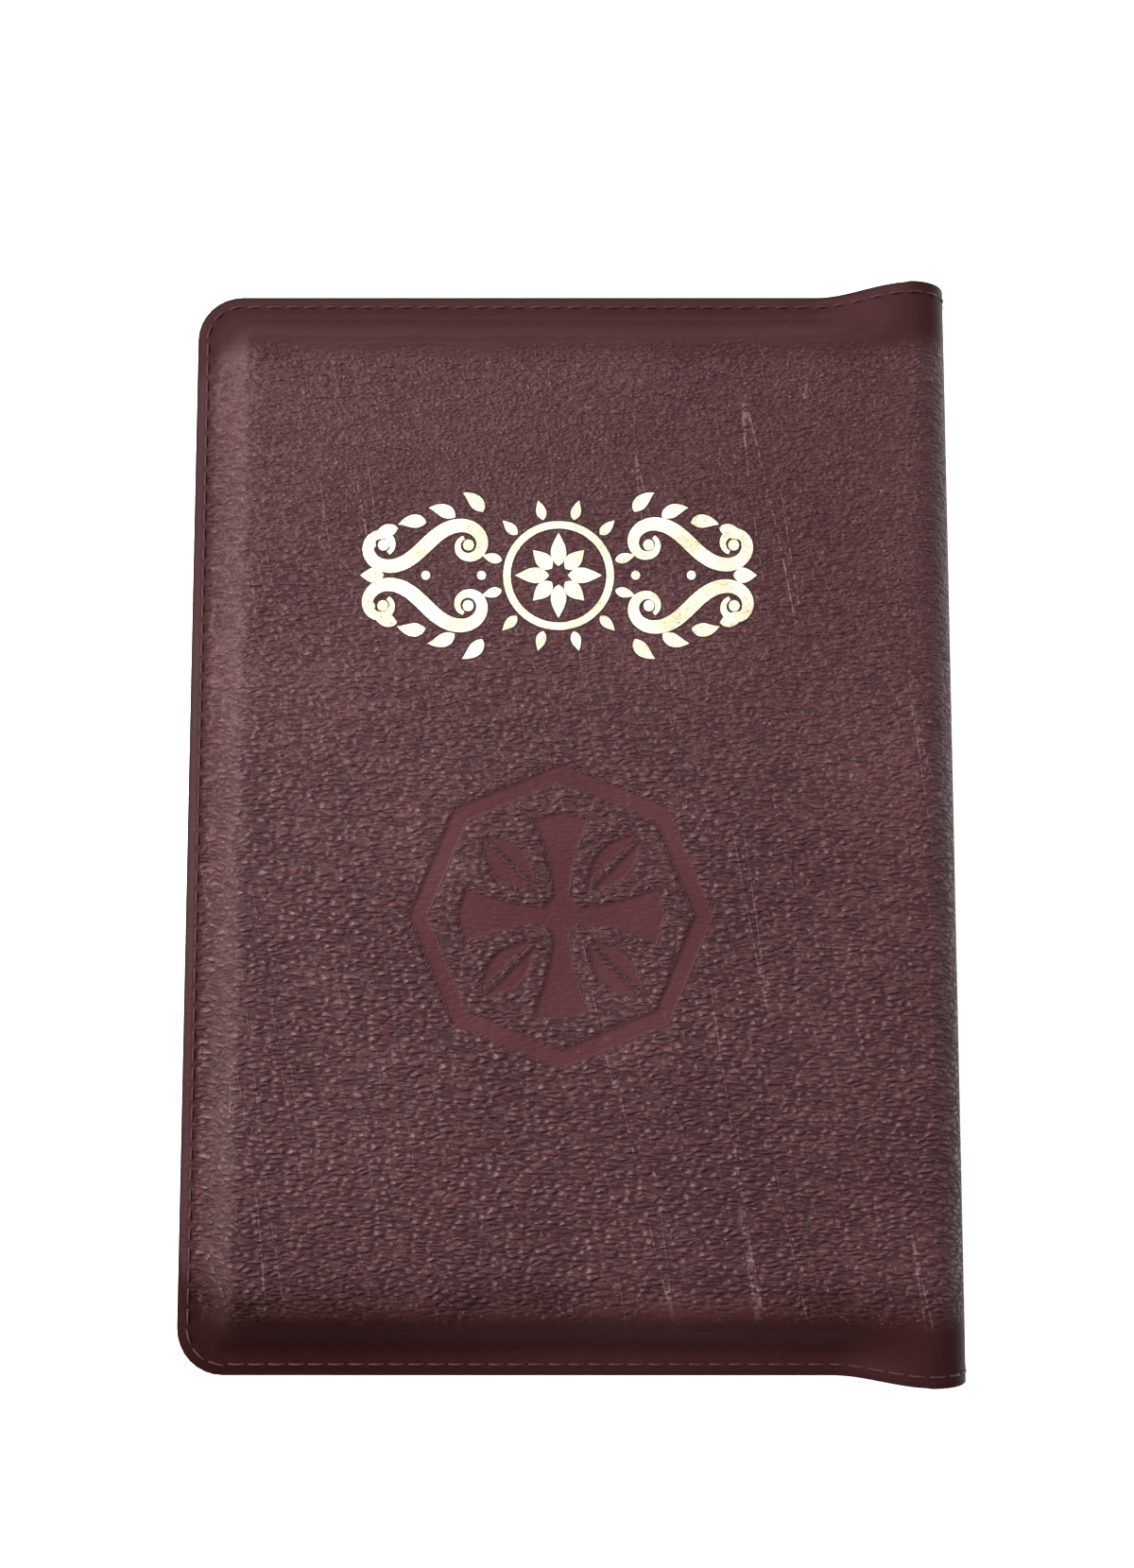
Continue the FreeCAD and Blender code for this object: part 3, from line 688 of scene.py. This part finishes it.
def stamped(name, strokes, spread, lift, place):
    """Thin closed strips of foil, each set on the leather by the given rule."""
    points, faces = [], []
    for order, (left, right) in enumerate(strokes):
        aside = left - right
        length = np.linalg.norm(aside, axis=1, keepdims=True) + 1e-12
        left, right = left + aside / length * spread, right - aside / length * spread
        top = lift + order * foil_overlap
        n, first = len(left), len(points)
        for height in (top, top - foil_thickness):
            for edge in (left, right):
                points += place(edge[:, 0], edge[:, 1], height)
        a, b, c, d = (first + n * k for k in range(4))
        for i in range(n - 1):
            faces += [(a + i, b + i, b + i + 1, a + i + 1), (c + i, c + i + 1, d + i + 1, d + i),
                      (a + i, a + i + 1, c + i + 1, c + i), (b + i, d + i, d + i + 1, b + i + 1)]
        faces += [(a, c, d, b), (a + n - 1, b + n - 1, d + n - 1, c + n - 1)]
    mesh = bpy.data.meshes.new(name)
    mesh.from_pydata(points, [], faces)
    return in_scene(name, mesh)


def on_front(x, y, height):
    x, y = x + stamp_x, y + stamp_y
    return np.stack([x, y, cover_height(x, y) - slump(x, y) + height], 1).tolist()


def gold_foil():
    """Pale gold leaf, with hairline breaks where it crosses the grain."""
    add, math_of, ramp_of, tint, bump_of, shade = new_finish("stamped_gold")
    place = add("TexCoord").outputs["Object"]
    flat_run = add("Mapping", Vector=place, Scale=(1.0, 3.0, 1.0)).outputs[0]
    crack = add("TexNoise", Vector=flat_run, Scale=620.0, Detail=3.0).outputs[0]
    crack = ramp_of(math_of("ABSOLUTE", math_of("SUBTRACT", crack, 0.5)), 0.0, 0.040, 1.0, 0.0)
    patch = ramp_of(add("TexNoise", Vector=place, Scale=900.0).outputs[0], 0.46, 0.58)
    crack = math_of("MULTIPLY", crack, patch)
    speck = ramp_of(add("TexNoise", Vector=flat_run, Scale=1700.0, Detail=3.0).outputs[0], 0.54, 0.68)
    lost = math_of("MAXIMUM", math_of("MULTIPLY", crack, 0.50), math_of("MULTIPLY", speck, 0.42))
    tone = ramp_of(add("TexNoise", Vector=place, Scale=140.0, Detail=3.0).outputs[0], 0.3, 0.7)
    colour = tint(tone, (0.62, 0.57, 0.38, 1), (0.84, 0.81, 0.63, 1))
    colour = tint(lost, colour, (0.075, 0.030, 0.020, 1))
    grit = add("TexNoise", Vector=flat_run, Scale=1100.0, Detail=3.0).outputs[0]
    height = math_of("SUBTRACT", grit, math_of("MULTIPLY", lost, 0.8))
    return shade(Base_Color=colour, Roughness=ramp_of(lost, 0.0, 1.0, 0.30, 0.6),
                 Metallic=ramp_of(lost, 0.0, 0.6, 0.55, 0.0), Normal=bump_of(0.8, 0.00020, height))


def painted_stamp_shadow():
    """Painted shadow: a thin dark strip round each foil stroke, for the shade at the pressed strokes' edges.
    """
    add, math_of, ramp_of, tint, bump_of, shade = new_finish("painted_stamp_shadow_strip")
    place = add("TexCoord").outputs["Object"]
    mottle = add("TexNoise", Vector=place, Scale=900.0, Detail=3.0).outputs[0]
    return shade(Base_Color=tint(mottle, (0.012, 0.003, 0.003, 1), (0.030, 0.010, 0.009, 1)),
                 Roughness=0.7, Specular_IOR_Level=0.2)


foil_finish, stamp_shadow_finish = gold_foil(), painted_stamp_shadow()
scrollwork = front_scrollwork()
front_foil = stamped("front_gold_scrollwork", scrollwork, 0.0, foil_rise, on_front)
front_foil.data.materials.append(foil_finish)
# Painted shadow: a dark strip a little wider than the foil, just under it, for the shade round the pressed
# strokes.
front_stamp_shadow = stamped("front_stamp_painted_shadow", scrollwork, stamp_shadow_spread, foil_rise - stamp_shadow_below_foil, on_front)
front_stamp_shadow.data.materials.append(stamp_shadow_finish)
for piece, slot in ((front_foil, "gold_foil"), (front_stamp_shadow, "cover_leather")):
    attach(piece, "front_cover")
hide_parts("front_gold_ornament")

rule_margin, lozenge_margin = 0.0022, 0.0012
rule_levels = [hinge_z - rule_margin, panel_z - hinge_z + rule_margin]
rule_places, rule_shifts = (-0.064, 0.018, 0.058), (-0.0034, -0.0022, 0.0022, 0.0034)


def spine_stamps():
    """Pairs of rules with a row of lozenges between, at three places up the spine."""
    strokes = []
    for y in rule_places:
        for shift in rule_shifts:
            line = np.stack([np.linspace(rule_levels[0], rule_levels[1], 12), np.full(12, y + shift)], 1)
            strokes.append(stroke(line, np.full(12, 0.0007 if abs(shift) > 0.003 else 0.00035)))
        for z in np.linspace(rule_levels[0] - lozenge_margin, rule_levels[1] + lozenge_margin, 7):
            t = np.linspace(0, 1, 7)
            line = np.stack([z + (t - 0.5) * 0.0018, np.full(7, y)], 1)
            strokes.append(stroke(line, 0.0001 + 0.0021 * (1 - np.abs(2 * t - 1))))
    return strokes


def on_spine(z, y, height):
    level = np.clip((hinge_z - z) / (2 * hinge_z - panel_z), 0, 1)
    return np.stack([spine_x - spine_hollow(y, z, level) + height, y, z], 1).tolist()


spine_foil = stamped("spine_gold_rules_foil", spine_stamps(), 0.0, foil_rise, on_spine)
spine_foil.data.materials.append(foil_finish)
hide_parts("spine_gold_rules")
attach(spine_foil, "block")


# ---------------------------------------------------------------- Zip tapes
# Woven tape sewn flat under each lip and turned down to form the wall round
# the pages. Dark burgundy herringbone, with a firm cord along its free edge.
full_turn = 6.2832


def woven_tape(name, dark, light, pitch):
    add, math_of, ramp_of, tint, bump_of, shade = new_finish(name)
    place = add("TexCoord").outputs["Object"]
    parts = add("SeparateXYZ", Vector=place)
    around = math_of("ADD", parts.outputs[0], parts.outputs[1])
    count = 1.0 / pitch
    slant = math_of("PINGPONG", math_of("MULTIPLY", parts.outputs[2], count * 0.35), 1.0)
    warp = math_of("ADD", math_of("MULTIPLY", around, count), slant)
    warp = math_of("SINE", math_of("MULTIPLY", warp, full_turn))
    weft = math_of("SINE", math_of("MULTIPLY", parts.outputs[2], count * full_turn))
    weave = math_of("MULTIPLY_ADD", math_of("MULTIPLY", warp, weft), 0.5, 0.5)
    fuzz = add("TexNoise", Vector=place, Scale=3200.0, Detail=2.0).outputs[0]
    colour = tint(math_of("MULTIPLY", weave, ramp_of(fuzz, 0.25, 0.75)), dark, light)
    return shade(Base_Color=colour, Roughness=0.9, Specular_IOR_Level=0.15,
                 Normal=bump_of(0.5, 0.00012, weave))


def refinish(finish, *nodes):
    """Give some of the frame's own pieces a finish."""
    for node in nodes:
        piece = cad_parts[node]
        piece.data.materials.clear()
        piece.data.materials.append(finish)


tape_finish = woven_tape("woven_zip_tape", (0.012, 0.0025, 0.003, 1), (0.055, 0.013, 0.016, 1), 0.0007)
refinish(tape_finish, "front_zip_tape", "back_zip_tape")


# ---------------------------------------------------------------- Zip coils
# Nylon monofilament wound into a continuous coil, one along each tape's free
# edge. Every turn is one loop standing across the edge.
coil_low, coil_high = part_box("front_zip_coil")
coil_pitch = 0.00125
coil_radius = (coil_high[2] - coil_low[2]) / 2 - 0.00002
coil_wire = 0.00023
coil_inset = coil_low[0] - fore_x + 0.0007
coil_sizes = {"Pitch": coil_pitch, "Loop radius": coil_radius, "Wire radius": coil_wire}


def coil_line(level):
    """Path of the coil from the head stop round the fore-edge to the tail stop."""
    start, bend, end = fore_x + coil_inset, corner - coil_inset, coil_high[0]
    turn = np.linspace(0, math.pi / 2, 14)
    straight = np.linspace(end, start + bend, 30)
    xs = np.concatenate([straight, start + bend * (1 - np.sin(turn[1:])), [start]])
    ys = np.concatenate([np.full_like(straight, half_length - coil_inset),
                         half_length - coil_inset - bend * (1 - np.cos(turn[1:])), [0.0]])
    xs, ys = np.concatenate([xs, xs[-2::-1]]), np.concatenate([ys, -ys[-2::-1]])
    return np.stack([xs, ys, np.full_like(xs, level)], 1)


def coil_loop(add, link, given):
    """One loop of wire, standing across the line and leaning a little."""
    inner = add("ShaderNodeMath")
    inner.operation = "SUBTRACT"
    loop, ring = add("GeometryNodeCurvePrimitiveCircle"), add("GeometryNodeCurvePrimitiveCircle")
    loop.inputs["Resolution"].default_value, ring.inputs["Resolution"].default_value = 10, 5
    tube = add("GeometryNodeCurveToMesh")
    lean = add("GeometryNodeTransform")
    lean.inputs["Rotation"].default_value = (0.18, math.pi / 2, 0)
    tangent, turned = add("GeometryNodeInputTangent"), add("FunctionNodeAlignRotationToVector")
    turned.axis, turned.pivot_axis = "X", "Z"
    link(given.outputs["Loop radius"], inner.inputs[0])
    link(given.outputs["Wire radius"], inner.inputs[1])
    link(inner.outputs[0], loop.inputs["Radius"])
    link(given.outputs["Wire radius"], ring.inputs["Radius"])
    link(loop.outputs["Curve"], tube.inputs["Curve"])
    link(ring.outputs["Curve"], tube.inputs["Profile Curve"])
    link(tube.outputs["Mesh"], lean.inputs["Geometry"])
    link(tangent.outputs[0], turned.inputs["Vector"])
    return lean.outputs[0], turned.outputs[0]


def moulded_nylon():
    """Dark red nylon, rubbed shiny on its crowns."""
    add, math_of, ramp_of, tint, bump_of, shade = new_finish("coil_nylon")
    place = add("TexCoord").outputs["Object"]
    rubs = add("TexNoise", Vector=place, Scale=900.0, Detail=3.0).outputs[0]
    colour = tint(ramp_of(rubs, 0.35, 0.75), (0.020, 0.004, 0.005, 1), (0.060, 0.018, 0.020, 1))
    return shade(Base_Color=colour, Roughness=ramp_of(rubs, 0.3, 0.8, 0.28, 0.48))


coil_turns = run_of_copies("zip_coil_turns", "Coil", coil_sizes, moulded_nylon(), coil_loop)
coil_middle = (coil_low[2] + coil_high[2]) / 2
for side, level in (("front", coil_middle), ("back", panel_z - coil_middle)):
    coil = grow_along(side + "_coil", [coil_line(level)], coil_turns, **coil_sizes)
    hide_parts(side + "_zip_coil")
    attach(coil, side + "_cover")


# ---------------------------------------------------------------- Zip slider, crown, pull and stops
# Die-cast zinc with an old-brass plating, tumbled so that every edge is round.
# The pull turns on the crown's pin; the stops are crimped on the coil's ends.
def antique_brass():
    """Brown old brass, bright where it is rubbed."""
    add, math_of, ramp_of, tint, bump_of, shade = new_finish("antique_brass")
    place = add("TexCoord").outputs["Object"]
    cast = add("TexNoise", Vector=place, Scale=700.0, Detail=4.0).outputs[0]
    fine = add("TexNoise", Vector=place, Scale=4200.0, Detail=2.0).outputs[0]
    colour = tint(ramp_of(cast, 0.35, 0.68), (0.16, 0.095, 0.045, 1), (0.52, 0.38, 0.19, 1))
    return shade(Base_Color=colour, Roughness=ramp_of(cast, 0.3, 0.8, 0.45, 0.24), Metallic=1.0,
                 Normal=bump_of(0.25, 0.00005, fine))


def tumbled(name, node, rounding):
    """The node's own shape, with its loose faces merged and its edges rounded."""
    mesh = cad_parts[node].data.copy()
    piece = in_scene(name, mesh)
    shape = bmesh.new()
    shape.from_mesh(mesh)
    bmesh.ops.remove_doubles(shape, verts=shape.verts, dist=0.000002)
    bmesh.ops.dissolve_limit(shape, angle_limit=math.radians(3), verts=shape.verts, edges=shape.edges)
    shape.to_mesh(mesh)
    shape.free()
    mesh.materials.clear()
    mesh.polygons.foreach_set("use_smooth", [True] * len(mesh.polygons))
    mesh.set_sharp_from_angle(angle=sharp_edge)
    bevel = piece.modifiers.new("tumbled", "BEVEL")
    bevel.width, bevel.segments = rounding, 2
    bevel.limit_method, bevel.angle_limit = "ANGLE", math.radians(35)
    bevel.harden_normals = False
    return piece


brass = antique_brass()
for name, node, body, rounding in (("slider_body", "zip_slider", "slider", 0.00012),
                                   ("slider_crown", "zip_crown", "slider", 0.00010),
                                   ("pull_tab", "zip_pull", "pull", 0.00022),
                                   ("front_stops", "front_zip_stops", "front_cover", 0.00018),
                                   ("back_stops", "back_zip_stops", "back_cover", 0.00018)):
    piece = tumbled(name, node, rounding)
    piece.data.materials.append(brass)
    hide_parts(node)
    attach(piece, body)


# ---------------------------------------------------------------- Boards and pastedowns
# Grey card stiffens the raised panel under the leather, and a cream endpaper
# is pasted over it inside each cover. Card shows short fibres, paper a laid grain.
def fibrous(name, dark, light, fibre, relief, rough):
    add, math_of, ramp_of, tint, bump_of, shade = new_finish(name)
    place = add("TexCoord").outputs["Object"]
    drawn = add("Mapping", Vector=place, Scale=(1.0, 0.25, 1.0)).outputs[0]
    fibres = add("TexNoise", Vector=drawn, Scale=fibre, Detail=4.0, Roughness=0.65).outputs[0]
    cloud = add("TexNoise", Vector=place, Scale=45.0, Detail=3.0).outputs[0]
    mix = math_of("MULTIPLY_ADD", cloud, 0.5, math_of("MULTIPLY", fibres, 0.5))
    return shade(Base_Color=tint(ramp_of(mix, 0.35, 0.65), dark, light), Roughness=rough,
                 Normal=bump_of(relief, 0.00006, fibres))


grey_card = fibrous("grey_card", (0.23, 0.21, 0.18, 1), (0.36, 0.34, 0.30, 1), 900.0, 0.5, 0.9)
endpaper = fibrous("cream_endpaper", (0.40, 0.34, 0.24, 1), (0.48, 0.42, 0.32, 1), 1400.0, 0.25, 0.75)
refinish(grey_card, "front_board", "back_board", "spine_stiffener")
refinish(endpaper, "front_pastedown", "back_pastedown", "front_flyleaf", "rear_flyleaf")
kraft = fibrous("brown_kraft", (0.20, 0.115, 0.055, 1), (0.32, 0.20, 0.11, 1), 1100.0, 0.4, 0.85)
refinish(kraft, "spine_kraft")


# ---------------------------------------------------------------- Text block
# Thin cream book paper, folded in sections and sewn. Head, tail and fore-edge
# are ploughed flat and gilt, and the edges of the leaves show as fine lines.
page_low, page_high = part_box("section_01")
gilt_depth = 0.00004


def gilt_paper():
    """Cream paper, gilt within a hair of its cut edges."""
    add, math_of, ramp_of, tint, bump_of, shade = new_finish("gilt_edged_paper")
    place = add("TexCoord").outputs["Object"]
    parts = add("SeparateXYZ", Vector=place)
    at_end = math_of("GREATER_THAN", math_of("ABSOLUTE", parts.outputs[1]), page_high[1] - gilt_depth)
    at_fore = math_of("LESS_THAN", parts.outputs[0], page_low[0] + gilt_depth)
    gilt = math_of("MAXIMUM", at_end, at_fore)
    leaves = add("Mapping", Vector=place, Scale=(0.012, 0.012, 1.0)).outputs[0]
    lines = add("TexNoise", Vector=leaves, Scale=9000.0, Detail=2.0, Roughness=0.7).outputs[0]
    wear = add("TexNoise", Vector=place, Scale=130.0, Detail=4.0).outputs[0]
    gold = tint(ramp_of(lines, 0.30, 0.62), (0.34, 0.22, 0.075, 1), (0.83, 0.64, 0.30, 1))
    gold = tint(ramp_of(wear, 0.56, 0.74, 0.0, 0.6), gold, (0.62, 0.50, 0.33, 1))
    fibres = add("TexNoise", Vector=place, Scale=1500.0, Detail=3.0).outputs[0]
    paper = tint(ramp_of(fibres, 0.3, 0.7), (0.43, 0.39, 0.31, 1), (0.50, 0.46, 0.38, 1))
    height = math_of("MULTIPLY_ADD", lines, gilt, math_of("MULTIPLY", fibres, 0.1))
    return shade(Base_Color=tint(gilt, paper, gold), Roughness=ramp_of(gilt, 0.0, 1.0, 0.8, 0.36),
                 Metallic=math_of("MULTIPLY", gilt, ramp_of(wear, 0.45, 0.75, 0.85, 0.35)),
                 Normal=bump_of(0.45, 0.00006, height))


paper_nodes = [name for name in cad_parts
               if name.startswith(("section_", "front_leaves", "rear_leaves"))]
refinish(gilt_paper(), *paper_nodes)


# ---------------------------------------------------------------- Sewing and spine lining
# Linen tapes and thread hold the sections together, and open cotton mull is
# glued over them before the kraft hollow and the stiffener.
linen = woven_tape("linen_tape", (0.42, 0.37, 0.27, 1), (0.72, 0.67, 0.55, 1), 0.0006)
scrim = woven_tape("cotton_mull", (0.30, 0.27, 0.21, 1), (0.70, 0.67, 0.58, 1), 0.0009)
refinish(linen, "sewing_tapes")
refinish(scrim, "spine_mull")
refinish(waxed_thread("linen_thread", (0.40, 0.35, 0.25, 1), (0.74, 0.69, 0.57, 1)), "sewing_thread")


# ---------------------------------------------------------------- Head and tail bands
# A cotton cord wrapped in turns of red and cream thread, glued at each end of
# the sections' folds.
band_turns, band_sides, turn_steps = 15, 16, 6


def banded_cotton():
    """Turns of red and cream thread, one above the other."""
    add, math_of, ramp_of, tint, bump_of, shade = new_finish("banded_cotton")
    place = add("TexCoord").outputs["Object"]
    level = add("SeparateXYZ", Vector=place).outputs[2]
    pitch = (panel_z - 2 * (panel_z - hinge_z)) / band_turns
    stripe = math_of("GREATER_THAN", math_of("FRACT", math_of("MULTIPLY", level, 0.5 / pitch)), 0.5)
    fuzz = add("TexNoise", Vector=place, Scale=4000.0, Detail=3.0).outputs[0]
    red = tint(fuzz, (0.16, 0.010, 0.014, 1), (0.36, 0.035, 0.040, 1))
    cream = tint(fuzz, (0.55, 0.49, 0.36, 1), (0.78, 0.72, 0.58, 1))
    return shade(Base_Color=tint(stripe, red, cream), Roughness=0.75, Normal=bump_of(0.4, 0.00008, fuzz))


cotton = banded_cotton()
for name in ("head_band", "tail_band"):
    low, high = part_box(name)
    middle = ((low[0] + high[0]) / 2, (low[1] + high[1]) / 2)
    thick = (high[0] - low[0]) / 2
    levels = np.linspace(low[2], high[2], band_turns * turn_steps + 1)
    around = np.linspace(0, 2 * math.pi, band_sides + 1)[:-1]
    points = []
    for k, z in enumerate(levels):
        radius = thick * (0.88 + 0.12 * abs(math.sin(math.pi * k / turn_steps)))
        points += [(middle[0] + radius * math.cos(a), middle[1] + radius * math.sin(a), z) for a in around]
    index = np.arange(len(points)).reshape(-1, band_sides)
    beside = np.roll(index, -1, axis=1)
    faces = np.stack([index[:-1], beside[:-1], beside[1:], index[1:]], -1).reshape(-1, 4).tolist()
    faces += [index[0, ::-1].tolist(), index[-1].tolist()]
    band_mesh = bpy.data.meshes.new(name + "_wrapped")
    band_mesh.from_pydata(points, [], faces)
    band_mesh.polygons.foreach_set("use_smooth", [True] * len(faces))
    band = in_scene(name + "_wrapped", band_mesh)
    band_mesh.materials.append(cotton)
    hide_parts(name)
    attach(band, "block")
